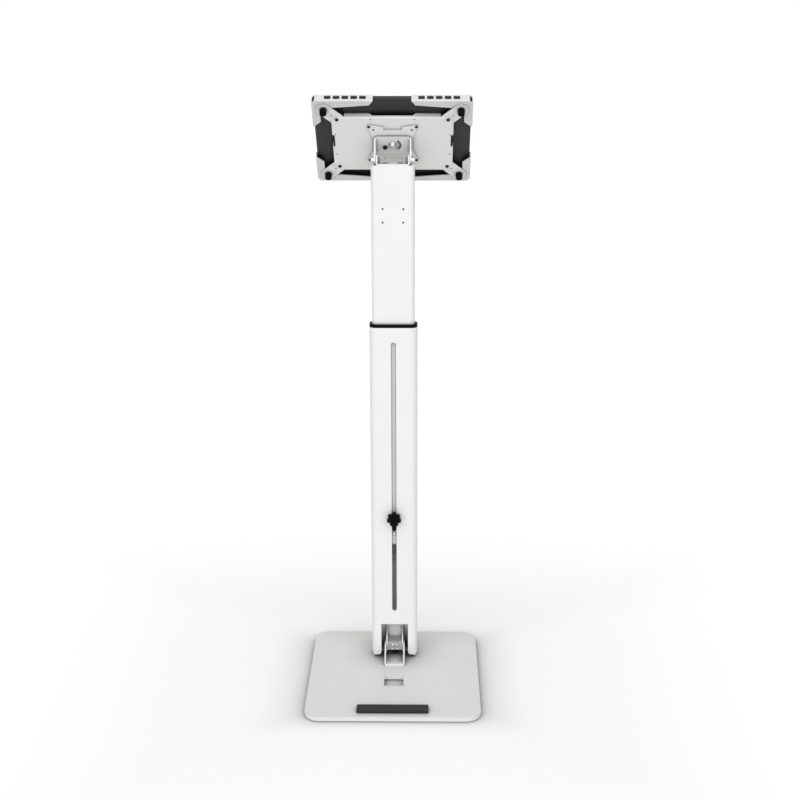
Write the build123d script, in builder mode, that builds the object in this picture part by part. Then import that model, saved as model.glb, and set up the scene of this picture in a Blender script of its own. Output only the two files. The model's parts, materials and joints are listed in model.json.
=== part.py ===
from build123d import *
import os
from math import cos, radians, sin, sqrt

os.makedirs("parts", exist_ok=True)

# Tablet floor stand: weighted base, fold-down telescopic mast, tilting and turning tablet clamp.
# Millimetres. Origin on the floor under the middle of the base, +Z up, back of the stand towards -Y.

# Base
base_size = 360.0
base_corner = 32.0
base_thick = 9.0
base_edge = 1.2
foot_height = 1.5
foot_radius = 14.0
foot_sink = 1.5
foot_inset = 42.0
foot_edge = 0.5
cable_hole = 41.0
cable_hole_corner = 2.0
cable_hole_y = -36.7
pad_width = 146.0
pad_depth = 25.0
pad_height = 6.0
pad_margin = 15.8
pad_corner = 3.0
pad_edge = 1.2
floor_screw_x = 11.0
floor_screw_head = 5.6
floor_screw_back = 17.0
floor_screw_front = 1.5
floor_socket = 2.3
floor_socket_deep = 2.0

# Mast tubes
column_y = 78.5
outer_width = 98.0
outer_depth = 36.0
outer_corner = 14.0
outer_wall = 2.5
outer_top = 758.0
leg_gap = 2.0
leg_round = 9.0
notch_half = 29.0
notch_top = 92.0
slot_width = 10.0
slot_bottom = 124.0
slot_top = 727.5
inner_room_x = 3.0
inner_room_y = 2.5
inner_corner = 10.0
inner_wall = 2.0
inner_bottom = 264.0
inner_top = 1083.0
collar_height = 6.5
collar_edge = 1.5
lid_edge = 1.0
skirt_depth = 24.0
seat_gap = 0.1
slide_gap = 0.3
fold_radius = 1.0
glide_floor = 2.0
glide_height = 16.4
glide_ledge = 3.0
plug_lid = 3.0
plug_depth = 20.0

# Fold hinge at the foot of the mast
fold_gap = 0.5
pin_radius = 4.0
pin_play = 0.05
pin_head_radius = 7.0
pin_head = 4.0
pin_nut = 5.0
pin_edge = 0.8
pin_socket = 2.9
pin_socket_deep = 2.5
base_steel = 3.0
base_bracket_half = 21.75
base_bracket_front = 24.3
base_ear = 13.0
stop_height = 10.0
swing_gap = 0.5
mast_steel = 2.5
mast_ear_gap = 0.45
mast_mouth = 2.5
mast_drop = 15.0
mast_ear_round = 6.0
mast_nose = 5.0
mast_web_drop = 11.0
mast_ear_rise = 23.0
mast_ear_slope = 10.0
mast_web_rise = 55.0
mast_screw_x = 13.0
mast_screw_drop = 7.0
mast_screw_pitch = 13.0
hinge_block_recess = 1.0
hinge_block_drop = 9.0
hinge_block_rise = 11.0
hinge_block_edge = 0.5
upper_screw_x = 4.2
upper_screw_rise = 3.4
upper_screw_head = 3.2
lower_screw_x = 5.2
lower_screw_drop = 6.0
lower_screw_head = 2.4
block_screw_high = 2.2
block_screw_long = 6.5
screw_m4 = 1.8
screw_m5 = 2.5
screw_m6 = 3.0
button_m5 = 4.7
button_m5_high = 2.7
thread_end = 1.0

# Height lock
knob_z = 343.0
knob_lobes = 7
knob_body = 11.4
knob_lobe = 3.9
knob_valley = 1.4
knob_edge = 1.4
knob_cap = 6.2
knob_cap_deep = 0.8
knob_thick = 9.0
knob_hub_radius = 9.0
knob_hub = 5.5
knob_socket = 10.0
washer_radius = 10.0
washer_thick = 1.6
stud_radius = 3.0
stud_past = 2.0
guide_low = 32.0
guide_high = 9.0
guide_recess = 0.5
guide_screw_drop = 40.0
guide_screw_head = 3.4
guide_screw_rise = 2.4
nut_plate_width = 40.0
nut_plate_corner = 4.0
nut_plate_thick = 5.0
nut_plate_low = 50.0
nut_plate_high = 22.0
accessory_x = 40.8
accessory_z = 27.0
accessory_mid = 987.0
accessory_radius = 2.0

# Neck: tilt pivot, yoke and turning joint
tilt_angle = 39.0
pivot_rise = 10.0
neck_half = 33.2
neck_steel = 3.0
neck_ear = 11.0
neck_depth = 24.0
neck_screw_x = 15.0
neck_screw_bite = 12.0
yoke_gap = 0.5
yoke_steel = 3.0
yoke_ear = 9.5
yoke_high = 22.0
yoke_low = -26.0
yoke_corner = 2.0
disc_thick = 1.0
pivot_back = 33.0
pivot_drop = 11.0
tilt_bolt_radius = 3.0
tilt_head_radius = 5.6
tilt_head = 5.5
tilt_washer = 1.2
tilt_flange = 7.2
tilt_nut = 4.8
turn_bolt_radius = 4.0
turn_head_radius = 6.6
turn_head = 5.0
turn_washer_radius = 9.5
turn_washer_thick = 1.2
turn_nut_radius = 7.2
turn_nut_thick = 5.0
turn_disc_radius = 11.5
stop_orbit = 14.5
stop_pin_radius = 2.2
stop_slot = 5.0
stop_pin_proud = 1.5
turn_range = 90.0
lock_screw_x = -15.4
lock_screw_s = -5.4
lock_screw_head = 4.4
lock_screw_high = 3.5
lock_screw_radius = 3.0

# Tablet clamp, measured along the turning plate, with depths below its back face
plate_steel = 2.0
vesa_inner = 75.0
vesa_outer = 92.6
vesa_hole = 2.4
plate_screw_head = 2.8
plate_waist = 38.0
plate_waist_half = 17.5
plate_step = 45.8
plate_ear_x = 51.5
plate_ear_s = 52.3
plate_side = 40.0
plate_side_half = 19.0
plate_ear_round = 4.5
tray_side_room = 34.0
tray_end_room = 36.55
tray_drop = 4.25
tray_chamfer = 12.0
chamfer_ease = 0.6
tray_depth = 12.2
tray_steel = 1.5
tray_flange_mid = 5.5
tray_flange_half = 39.0
tray_notch = 32.0
tray_notch_depth = 5.0
tray_notch_s = 5.5
tray_dot = 1.5
tray_dot_edge = 6.5
tray_dot_half = 27.0
tray_dot_x = 43.0
tray_dot_end = 5.0
tray_hole = 12.0
tray_pad_long = 80.0
tray_pad_wide = 12.0
tray_pad_end = 23.75
arm_steel = 1.5
arm_half = 14.2
arm_length = 84.0
arm_travel = 15.0
arm_hole = 1.6
arm_hole_back = 22.2
arm_screw = 2.0
arm_screw_head = 3.4
arm_screw_high = 2.2
arm_nut = 3.8
arm_nut_thick = 3.2
arm_screw_low = 8.2
arm_screw_back = 34.8
knob_in_x = 22.8
knob_in_s = 23.1
clamp_steel = 2.0
clamp_depth = 17.5
clamp_fit = 0.5
clamp_long = 118.5
clamp_side = 69.8
clamp_front_lip = 7.0
clamp_lip_ease = 5.0
clamp_corner_x = 8.5
clamp_corner_s = 7.8
clamp_rim = 1.5
clamp_pad_wide = 8.0
clamp_pad_in = 8.0
clamp_pad_long = 70.0
clamp_pad_mid_x = 75.5
clamp_pad_side = 44.0
clamp_pad_mid_s = 38.8
clamp_nut = 4.8
clamp_nut_thick = 4.0
small_corner = 2.0
vent_long = 12.8
vent_high = 9.0
vent_pitch = 16.9
vent_last = 31.5
vent_count = 5
thumb_radius = 6.8
thumb_flutes = 12
thumb_flute = 1.3
thumb_flute_out = 0.7
thumb_rim = 2.2
thumb_dish = 0.8
thumb_height = 11.5
thumb_stud = 2.5
thumb_stud_long = 8.8
tablet_width = 306.0
tablet_height = 220.6
tablet_thick = 5.8
tablet_corner = 12.0
tablet_depth = 14.5
tablet_drop = 1.5
tablet_edge = 2.5
glass_margin = 3.0
glass_thick = 1.2

# Heights and places worked out from the sizes above
base_top = foot_height + base_thick
pad_y = pad_margin + pad_depth / 2 - base_size / 2
pin_z = base_top + pad_height + outer_depth / 2 + fold_gap
outer_bottom = base_top + leg_gap
column_back = column_y - outer_depth / 2
column_front = column_y + outer_depth / 2
bore_back = column_back + outer_wall
bore_front = column_front - outer_wall
bore_width = outer_width - 2 * outer_wall
bore_depth = outer_depth - 2 * outer_wall
bore_corner = outer_corner - outer_wall
swing_radius = pin_z - base_top - swing_gap
leg_tip = pin_z - sqrt(swing_radius**2 - (column_y - bore_back) ** 2)
leg_outer_round = leg_tip + leg_round - outer_bottom
inner_width = bore_width - 2 * inner_room_x
inner_depth = bore_depth - 2 * inner_room_y
inner_back = column_y - inner_depth / 2
inner_bore_width = inner_width - 2 * inner_wall
inner_bore_depth = inner_depth - 2 * inner_wall
inner_bore_corner = inner_corner - inner_wall
lid_top = inner_top + plug_lid
pivot_z = lid_top + pivot_rise
tilt_cos = cos(radians(tilt_angle))
tilt_sin = sin(radians(tilt_angle))
head_y = column_y + pivot_back * tilt_cos - pivot_drop * tilt_sin
head_z = pivot_z + pivot_back * tilt_sin + pivot_drop * tilt_cos
clamp_half_w = tablet_width / 2 + clamp_fit + clamp_steel
clamp_half_h = tablet_height / 2 + clamp_fit + clamp_steel
knob_x = clamp_half_w - knob_in_x
knob_s = clamp_half_h - knob_in_s
tray_width = tablet_width - 2 * tray_side_room
tray_height = tablet_height - 2 * tray_end_room

# The head's own plane: x to the right, y up along the turning plate, z out of its back face
head = Plane(origin=(0, head_y, head_z), x_dir=(1, 0, 0), z_dir=(0, -tilt_cos, -tilt_sin))
head_depth = Axis(head.origin, head.z_dir)

# The tablet and its clamps sit a little below the middle of the turning plate
hold = Plane(origin=head.from_local_coords((0, -tablet_drop, 0)), x_dir=head.x_dir, z_dir=head.z_dir)


def back_plane(y):
    # Faces the back of the stand at depth y, with x to the right and y up
    return Plane.XZ.offset(-y)


def front_plane(y):
    # Faces the user at depth y
    return Plane(origin=(0, y, 0), x_dir=(-1, 0, 0), z_dir=(0, 1, 0))


def side_plane(x):
    # Faces outwards at x, with coordinates (y, z) on the right and (-y, z) on the left
    side = 1 if x > 0 else -1
    return Plane(origin=(x, 0, 0), x_dir=(0, side, 0), z_dir=(side, 0, 0))


def head_across(x):
    # Section of the head at x, with coordinates (height along the plate, depth)
    return Plane(origin=head.from_local_coords((x, 0, 0)), x_dir=head.y_dir, z_dir=head.x_dir)


def head_level(s):
    # Section of the head at height s, with coordinates (depth, x)
    return Plane(origin=head.from_local_coords((0, s, 0)), x_dir=head.z_dir, z_dir=head.y_dir)


def save(part, label):
    part.label = label
    export_step(part, f"parts/{label}.step")


def button_screws(plane, points, head_radius, head_high, shank_radius, shank_long):
    # Heads stand out of the plane with a hexagon socket, shanks go into it
    with BuildSketch(plane) as heads:
        with Locations(*points):
            Circle(head_radius)
    extrude(heads.sketch, amount=head_high, taper=15)
    with BuildSketch(plane) as shanks:
        with Locations(*points):
            Circle(shank_radius)
    extrude(shanks.sketch, amount=-shank_long)
    with BuildSketch(plane.offset(head_high)) as sockets:
        with Locations(*points):
            RegularPolygon(head_radius * 0.4, 6)
    extrude(sockets.sketch, amount=-head_high * 0.6, mode=Mode.SUBTRACT)


def round_holes(plane, points, radius, depth):
    with BuildSketch(plane) as holes:
        with Locations(*points):
            Circle(radius)
    extrude(holes.sketch, amount=-depth, mode=Mode.SUBTRACT)


def folded_channel(half_width, high, steel):
    # U section of folded sheet, open upwards and standing on the origin
    with BuildSketch() as channel:
        Rectangle(2 * half_width, high, align=(Align.CENTER, Align.MIN))
        with Locations((0, steel)):
            Rectangle(2 * (half_width - steel), high, align=(Align.CENTER, Align.MIN), mode=Mode.SUBTRACT)
        fillet(channel.vertices().group_by(Axis.Y)[1], fold_radius)
        fillet(channel.vertices().group_by(Axis.Y)[0], fold_radius + steel)
    return channel.sketch


def ear_profile(centre, radius, foot_start, foot_end):
    # Round ear tangent to a straight foot line
    with BuildSketch() as profile:
        with BuildLine():
            CenterArc(centre, radius, 0, 360)
            Line(foot_start, foot_end)
        make_hull()
    return profile.sketch


def hex_nuts(plane, points, radius, bore, thick):
    # Nuts lie against the plane and reach into it
    with BuildSketch(plane) as nuts:
        with Locations(*points):
            RegularPolygon(radius, 6)
            Circle(bore, mode=Mode.SUBTRACT)
    extrude(nuts.sketch, amount=-thick)


# Base plate with its cable opening, foot recesses and bracket screw holes
foot_pitch = base_size - 2 * foot_inset
bracket_length = bore_front - fold_gap - base_bracket_front
floor_screw_rows = (base_bracket_front + floor_screw_back, column_y + floor_screw_front)
floor_screws = [(side * floor_screw_x, y) for side in (-1, 1) for y in floor_screw_rows]
low_plane = Plane.XY.offset(foot_height)

with BuildPart() as base_plate:
    with BuildSketch(low_plane):
        RectangleRounded(base_size, base_size, base_corner)
    extrude(amount=base_thick)
    fillet(base_plate.faces().sort_by(Axis.Z)[-1].edges(), base_edge)
    chamfer(base_plate.faces().sort_by(Axis.Z)[0].edges(), base_edge / 2)
    with BuildSketch(low_plane):
        with Locations((0, cable_hole_y)):
            RectangleRounded(cable_hole, cable_hole, cable_hole_corner)
    extrude(amount=base_thick, mode=Mode.SUBTRACT)
    with BuildSketch(low_plane):
        with GridLocations(foot_pitch, foot_pitch, 2, 2):
            Circle(foot_radius)
    extrude(amount=foot_sink, mode=Mode.SUBTRACT)
    with BuildSketch(low_plane):
        with Locations(*floor_screws):
            Circle(screw_m6)
    extrude(amount=base_thick, mode=Mode.SUBTRACT)
    with BuildSketch(low_plane):
        with Locations(*floor_screws):
            Circle(floor_screw_head)
    extrude(amount=floor_screw_head - screw_m6, taper=45, mode=Mode.SUBTRACT)
save(base_plate.part, "base_plate")

with BuildPart() as base_feet:
    with BuildSketch():
        with GridLocations(foot_pitch, foot_pitch, 2, 2):
            Circle(foot_radius)
    extrude(amount=foot_height + foot_sink)
    chamfer(base_feet.edges().group_by(Axis.Z)[0], foot_edge)
save(base_feet.part, "base_feet")

with BuildPart() as rest_pad:
    with BuildSketch(Plane.XY.offset(base_top)):
        with Locations((0, pad_y)):
            RectangleRounded(pad_width, pad_depth, pad_corner)
    extrude(amount=pad_height)
    fillet(rest_pad.faces().sort_by(Axis.Z)[-1].edges(), pad_edge)
save(rest_pad.part, "rest_pad")

# Hinge bracket on the base: folded U with sloping ears and a stop lip in front of the mast wall
with BuildPart() as base_bracket:
    with BuildSketch(back_plane(base_bracket_front)):
        with Locations((0, base_top)):
            add(folded_channel(base_bracket_half, pin_z + base_ear, base_steel))
    extrude(amount=-bracket_length)
    bracket_end = base_bracket_front + bracket_length
    with BuildSketch(Plane.YZ):
        add(ear_profile((column_y, pin_z), base_ear, (base_bracket_front, base_top), (bracket_end, base_top)))
    extrude(amount=base_bracket_half, both=True, mode=Mode.INTERSECT)
    with BuildSketch(front_plane(bracket_end)):
        with Locations((0, base_top)):
            Rectangle(2 * base_bracket_half, stop_height, align=(Align.CENTER, Align.MIN))
    extrude(amount=-base_steel)
    round_holes(side_plane(base_bracket_half), [(column_y, pin_z)], pin_radius + pin_play, 2 * base_bracket_half)
    round_holes(Plane.XY.offset(base_top + base_steel), floor_screws, screw_m6, base_steel)
save(base_bracket.part, "base_bracket")

with BuildPart() as floor_screw_set:
    with BuildSketch(low_plane):
        with Locations(*floor_screws):
            Circle(floor_screw_head)
    extrude(amount=floor_screw_head - screw_m6, taper=45)
    with BuildSketch(low_plane):
        with Locations(*floor_screws):
            Circle(screw_m6)
    extrude(amount=base_thick + base_steel)
    with BuildSketch(low_plane):
        with Locations(*floor_screws):
            RegularPolygon(floor_socket, 6)
    extrude(amount=floor_socket_deep, mode=Mode.SUBTRACT)
save(floor_screw_set.part, "bracket_screws")

with BuildPart() as hinge_pin:
    with BuildSketch(side_plane(-base_bracket_half)):
        with Locations((-column_y, pin_z)):
            Circle(pin_head_radius)
    extrude(amount=pin_head)
    chamfer(hinge_pin.faces().sort_by(Axis.X)[0].edges(), pin_edge)
    with BuildSketch(side_plane(-base_bracket_half)):
        with Locations((-column_y, pin_z)):
            Circle(pin_radius)
    extrude(amount=-(2 * base_bracket_half + pin_nut + 1))
    with BuildSketch(side_plane(-base_bracket_half - pin_head)):
        with Locations((-column_y, pin_z)):
            RegularPolygon(pin_socket, 6)
    extrude(amount=-pin_socket_deep, mode=Mode.SUBTRACT)
save(hinge_pin.part, "hinge_pin")

with BuildPart() as hinge_nut:
    with BuildSketch(side_plane(base_bracket_half)):
        with Locations((column_y, pin_z)):
            RegularPolygon(pin_head_radius, 6)
            Circle(pin_radius + pin_play, mode=Mode.SUBTRACT)
    extrude(amount=pin_nut)
save(hinge_nut.part, "hinge_nut")

# Mast bracket: U inside the base ears, open to the back, its web screwed to the front wall of the mast
mast_half = base_bracket_half - base_steel - mast_ear_gap
mast_back = bore_back + mast_mouth
mast_web = bore_front - mast_steel
mast_low = pin_z - mast_drop
mast_top = pin_z + mast_web_rise
mast_screw_rows = (mast_top - mast_screw_drop, mast_top - mast_screw_drop - mast_screw_pitch)
mast_screws = [(side * mast_screw_x, z) for side in (-1, 1) for z in mast_screw_rows]
block_back = mast_back + hinge_block_recess
upper_screws = [(side * upper_screw_x, pin_z + upper_screw_rise) for side in (-1, 1)]
lower_screws = [(side * lower_screw_x, pin_z - lower_screw_drop) for side in (-1, 1)]

with BuildPart() as mast_bracket:
    with BuildSketch(Plane.XY.offset(mast_low)):
        with Locations(Location((0, bore_front, 0), (0, 0, 180))):
            add(folded_channel(mast_half, bore_front - mast_back, mast_steel))
    extrude(amount=mast_top - mast_low)
    with BuildSketch(Plane.YZ) as profile:
        with BuildLine():
            Polyline(
                (mast_back, mast_low),
                (mast_back, pin_z + mast_ear_rise),
                (mast_web, pin_z + mast_ear_rise + mast_ear_slope),
                (mast_web, mast_top),
                (bore_front, mast_top),
                (bore_front, pin_z - mast_web_drop),
                (column_y + mast_nose, mast_low),
                close=True,
            )
        make_face()
        fillet(profile.vertices().group_by(Axis.X)[0], mast_ear_round)
    extrude(amount=mast_half, both=True, mode=Mode.INTERSECT)
    round_holes(side_plane(mast_half), [(column_y, pin_z)], pin_radius + pin_play, 2 * mast_half)
    round_holes(front_plane(bore_front), mast_screws, screw_m5, mast_steel)
save(mast_bracket.part, "mast_bracket")

with BuildPart() as hinge_block:
    with BuildSketch(Plane.XY.offset(pin_z - hinge_block_drop)) as block_section:
        with Locations((0, block_back)):
            Rectangle(
                2 * (mast_half - mast_steel),
                mast_web - seat_gap - block_back,
                align=(Align.CENTER, Align.MIN),
            )
        chamfer(block_section.vertices().group_by(Axis.Y)[-1], fold_radius)
    extrude(amount=hinge_block_drop + hinge_block_rise)
    chamfer(hinge_block.faces().sort_by(Axis.Y)[0].edges(), hinge_block_edge)
    round_holes(side_plane(mast_half), [(column_y, pin_z)], pin_radius + pin_play, 2 * mast_half)
    round_holes(back_plane(block_back), upper_screws + lower_screws, screw_m4, block_screw_long)
save(hinge_block.part, "hinge_block")

with BuildPart() as block_screws:
    block_seat = back_plane(block_back)
    for spots, radius in ((upper_screws, upper_screw_head), (lower_screws, lower_screw_head)):
        button_screws(block_seat, spots, radius, block_screw_high, screw_m4, block_screw_long)
save(block_screws.part, "block_screws")

# Lower column: rounded tube, notched round the base bracket, with rounded feet and the height slot
with BuildPart() as lower_column:
    with BuildSketch(Plane.XY.offset(outer_bottom)):
        with Locations((0, column_y)):
            RectangleRounded(outer_width, outer_depth, outer_corner)
            RectangleRounded(bore_width, bore_depth, bore_corner, mode=Mode.SUBTRACT)
    extrude(amount=outer_top - outer_bottom)
    with BuildSketch(back_plane(column_back)):
        with Locations((0, outer_bottom)):
            Rectangle(2 * (notch_half + leg_round), leg_outer_round, align=(Align.CENTER, Align.MIN))
        with GridLocations(2 * (notch_half + leg_round), 1, 2, 1):
            with Locations((0, leg_tip + leg_round)):
                Circle(leg_round, mode=Mode.SUBTRACT)
        with Locations((0, outer_bottom)):
            Rectangle(2 * notch_half, notch_top - outer_bottom, align=(Align.CENTER, Align.MIN))
    extrude(amount=-outer_wall, mode=Mode.SUBTRACT)
    toe_half = outer_width / 2 - leg_outer_round
    with BuildSketch(back_plane(column_back)):
        with Locations((0, outer_bottom)):
            Rectangle(outer_width, leg_outer_round, align=(Align.CENTER, Align.MIN))
            Rectangle(2 * toe_half, leg_outer_round, align=(Align.CENTER, Align.MIN), mode=Mode.SUBTRACT)
        with GridLocations(2 * toe_half, 1, 2, 1):
            with Locations((0, outer_bottom + leg_outer_round)):
                Circle(leg_outer_round, mode=Mode.SUBTRACT)
    extrude(amount=-outer_depth, mode=Mode.SUBTRACT)
    with BuildSketch(Plane.YZ):
        with Locations((column_y, pin_z)):
            Rectangle(outer_depth / 2, pin_z - outer_bottom, align=(Align.MAX, Align.MAX))
            Circle(swing_radius, mode=Mode.SUBTRACT)
    extrude(amount=outer_width / 2, both=True, mode=Mode.SUBTRACT)
    with BuildSketch(back_plane(column_back)):
        with Locations((0, (slot_bottom + slot_top) / 2)):
            SlotOverall(slot_top - slot_bottom, slot_width, rotation=90)
    extrude(amount=-outer_wall, mode=Mode.SUBTRACT)
    round_holes(front_plane(column_front), mast_screws, screw_m5, outer_wall)
save(lower_column.part, "lower_column")

with BuildPart() as mast_screw_set:
    mast_screw_long = outer_wall + mast_steel + thread_end
    button_screws(
        front_plane(column_front), mast_screws, button_m5, button_m5_high, screw_m5, mast_screw_long
    )
save(mast_screw_set.part, "mast_screws")

with BuildPart() as column_collar:
    with BuildSketch(Plane.XY.offset(outer_top)):
        with Locations((0, column_y)):
            RectangleRounded(outer_width, outer_depth, outer_corner)
    extrude(amount=collar_height)
    fillet(column_collar.faces().sort_by(Axis.Z)[-1].edges(), collar_edge)
    with BuildSketch(Plane.XY.offset(outer_top)):
        with Locations((0, column_y)):
            RectangleRounded(bore_width - 2 * seat_gap, bore_depth - 2 * seat_gap, bore_corner - seat_gap)
    extrude(amount=-skirt_depth)
    with BuildSketch(Plane.XY.offset(outer_top - skirt_depth)):
        with Locations((0, column_y)):
            RectangleRounded(inner_width + 2 * slide_gap, inner_depth + 2 * slide_gap, inner_corner + slide_gap)
    extrude(amount=skirt_depth + collar_height, mode=Mode.SUBTRACT)
save(column_collar.part, "column_collar")

# Upper column and what slides with it
guide_screw_z = knob_z - guide_screw_drop
accessory_rows = (accessory_mid - accessory_z / 2, accessory_mid + accessory_z / 2)
accessory_points = [(side * accessory_x / 2, z) for side in (-1, 1) for z in accessory_rows]
with BuildPart() as upper_column:
    with BuildSketch(Plane.XY.offset(inner_bottom)):
        with Locations((0, column_y)):
            RectangleRounded(inner_width, inner_depth, inner_corner)
            RectangleRounded(inner_bore_width, inner_bore_depth, inner_bore_corner, mode=Mode.SUBTRACT)
    extrude(amount=inner_top - inner_bottom)
    round_holes(back_plane(inner_back), [(0, knob_z)], stud_radius + slide_gap, inner_wall)
    round_holes(back_plane(inner_back), [(0, guide_screw_z)], screw_m4, inner_wall)
    round_holes(back_plane(inner_back), accessory_points, accessory_radius, inner_wall)
save(upper_column.part, "upper_column")

with BuildPart() as lower_glide:
    with BuildSketch(Plane.XY.offset(inner_bottom - glide_floor)):
        with Locations((0, column_y)):
            RectangleRounded(bore_width - 2 * slide_gap, bore_depth - 2 * slide_gap, bore_corner - slide_gap)
            RectangleRounded(
                inner_bore_width - 2 * glide_ledge,
                inner_bore_depth - 2 * glide_ledge,
                inner_bore_corner - glide_ledge,
                mode=Mode.SUBTRACT,
            )
    extrude(amount=glide_height)
    with BuildSketch(Plane.XY.offset(inner_bottom)):
        with Locations((0, column_y)):
            RectangleRounded(inner_width, inner_depth, inner_corner)
    extrude(amount=glide_height, mode=Mode.SUBTRACT)
save(lower_glide.part, "lower_glide")

with BuildPart() as nut_plate:
    with BuildSketch(back_plane(inner_back + inner_wall)):
        with Locations((0, knob_z - nut_plate_low)):
            Rectangle(nut_plate_width, nut_plate_low + nut_plate_high, align=(Align.CENTER, Align.MIN))
    extrude(amount=-nut_plate_thick)
    chamfer(nut_plate.edges().filter_by(Axis.Y), nut_plate_corner)
    round_holes(back_plane(inner_back + inner_wall), [(0, knob_z)], stud_radius + pin_play, nut_plate_thick)
    round_holes(back_plane(inner_back + inner_wall), [(0, guide_screw_z)], screw_m4, nut_plate_thick)
save(nut_plate.part, "nut_plate")

guide_mid = knob_z + (guide_high - guide_low) / 2
with BuildPart() as slot_guide:
    with BuildSketch(back_plane(inner_back)):
        with Locations((0, guide_mid)):
            SlotOverall(guide_low + guide_high, slot_width - 2 * slide_gap, rotation=90)
    extrude(amount=inner_back - column_back - guide_recess)
    round_holes(back_plane(column_back), [(0, knob_z)], stud_radius + slide_gap, inner_back - column_back)
save(slot_guide.part, "slot_guide")

with BuildPart() as guide_screw:
    guide_screw_long = inner_wall + nut_plate_thick
    guide_spot = [(0, guide_screw_z)]
    button_screws(
        back_plane(inner_back), guide_spot, guide_screw_head, guide_screw_rise, screw_m4, guide_screw_long
    )
save(guide_screw.part, "guide_screw")

neck_screws = [(-neck_screw_x, column_y), (neck_screw_x, column_y)]
with BuildPart() as top_plug:
    with BuildSketch(Plane.XY.offset(inner_top)):
        with Locations((0, column_y)):
            RectangleRounded(inner_width, inner_depth, inner_corner)
    extrude(amount=plug_lid)
    fillet(top_plug.faces().sort_by(Axis.Z)[-1].edges(), lid_edge)
    with BuildSketch(Plane.XY.offset(inner_top)):
        with Locations((0, column_y)):
            RectangleRounded(
                inner_bore_width - 2 * seat_gap,
                inner_bore_depth - 2 * seat_gap,
                inner_bore_corner - seat_gap,
            )
    extrude(amount=-plug_depth)
    round_holes(Plane.XY.offset(lid_top), neck_screws, screw_m5, plug_lid + plug_depth)
save(top_plug.part, "top_plug")

# Neck bracket on top of the mast: U with round ears about the tilt pivot
with BuildPart() as neck_bracket:
    with BuildSketch(back_plane(column_y - neck_depth / 2)):
        with Locations((0, lid_top)):
            add(folded_channel(neck_half, pivot_rise + neck_ear, neck_steel))
    extrude(amount=-neck_depth)
    neck_foot = [(column_y + side * neck_depth / 2, lid_top) for side in (-1, 1)]
    with BuildSketch(Plane.YZ):
        add(ear_profile((column_y, pivot_z), neck_ear, *neck_foot))
    extrude(amount=neck_half, both=True, mode=Mode.INTERSECT)
    round_holes(side_plane(neck_half), [(column_y, pivot_z)], tilt_bolt_radius + pin_play, 2 * neck_half)
    round_holes(Plane.XY.offset(lid_top + neck_steel), neck_screws, screw_m5, neck_steel)
save(neck_bracket.part, "neck_bracket")

with BuildPart() as neck_screw_set:
    neck_seat = Plane.XY.offset(lid_top + neck_steel)
    neck_screw_long = neck_steel + plug_lid + neck_screw_bite
    button_screws(neck_seat, neck_screws, button_m5, button_m5_high, screw_m5, neck_screw_long)
save(neck_screw_set.part, "neck_screws")

# Tilt pivot: two flanged shoulder bolts through yoke ears and neck ears, with inner nuts
yoke_half = neck_half + yoke_gap + yoke_steel
bolt_seat = yoke_half + seat_gap + tilt_washer
bolt_reach = bolt_seat - neck_half + neck_steel + tilt_nut + thread_end
with BuildPart() as tilt_bolts:
    for side in (-1, 1):
        spot = [(side * column_y, pivot_z)]
        seat = side_plane(side * bolt_seat)
        button_screws(seat, spot, tilt_head_radius, tilt_head, tilt_bolt_radius, bolt_reach)
        with BuildSketch(seat):
            with Locations(*spot):
                Circle(tilt_flange)
        extrude(amount=-tilt_washer)
save(tilt_bolts.part, "tilt_bolts")

with BuildPart() as tilt_nuts:
    for side in (-1, 1):
        nut_face = side_plane(side * (neck_half - neck_steel))
        hex_nuts(nut_face, [(side * column_y, pivot_z)], tilt_head_radius, tilt_bolt_radius + pin_play, tilt_nut)
save(tilt_nuts.part, "tilt_nuts")

# Height lock: star knob with its stud and clamping washer
washer_face = column_back - slide_gap
hub_face = washer_face - washer_thick
star_face = hub_face - knob_hub
with BuildPart() as lock_knob:
    with BuildSketch(back_plane(hub_face)):
        with Locations((0, knob_z)):
            Circle(knob_hub_radius)
    extrude(amount=knob_hub, taper=4)
    with BuildSketch(back_plane(star_face)) as star:
        with Locations((0, knob_z)):
            Circle(knob_body)
            with PolarLocations(knob_body, knob_lobes, start_angle=90):
                Circle(knob_lobe)
        fillet(star.vertices(), knob_valley)
    extrude(amount=knob_thick)
    chamfer(lock_knob.faces().sort_by(Axis.Y)[0].edges(), knob_edge)
    with BuildSketch(back_plane(star_face - knob_thick)):
        with Locations((0, knob_z)):
            Circle(knob_cap)
    extrude(amount=-knob_cap_deep, mode=Mode.SUBTRACT)
    round_holes(front_plane(hub_face), [(0, knob_z)], stud_radius, knob_socket)
save(lock_knob.part, "lock_knob")

with BuildPart() as lock_stud:
    with BuildSketch(back_plane(column_y + stud_past)):
        with Locations((0, knob_z)):
            Circle(stud_radius)
    extrude(amount=column_y + stud_past - hub_face + knob_socket)
    chamfer(lock_stud.faces().sort_by(Axis.Y)[-1].edges(), pin_edge)
save(lock_stud.part, "lock_stud")

with BuildPart() as lock_washer:
    with BuildSketch(back_plane(washer_face)):
        with Locations((0, knob_z)):
            Circle(washer_radius)
            Circle(stud_radius + pin_play, mode=Mode.SUBTRACT)
    extrude(amount=washer_thick)
save(lock_washer.part, "lock_washer")

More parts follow.
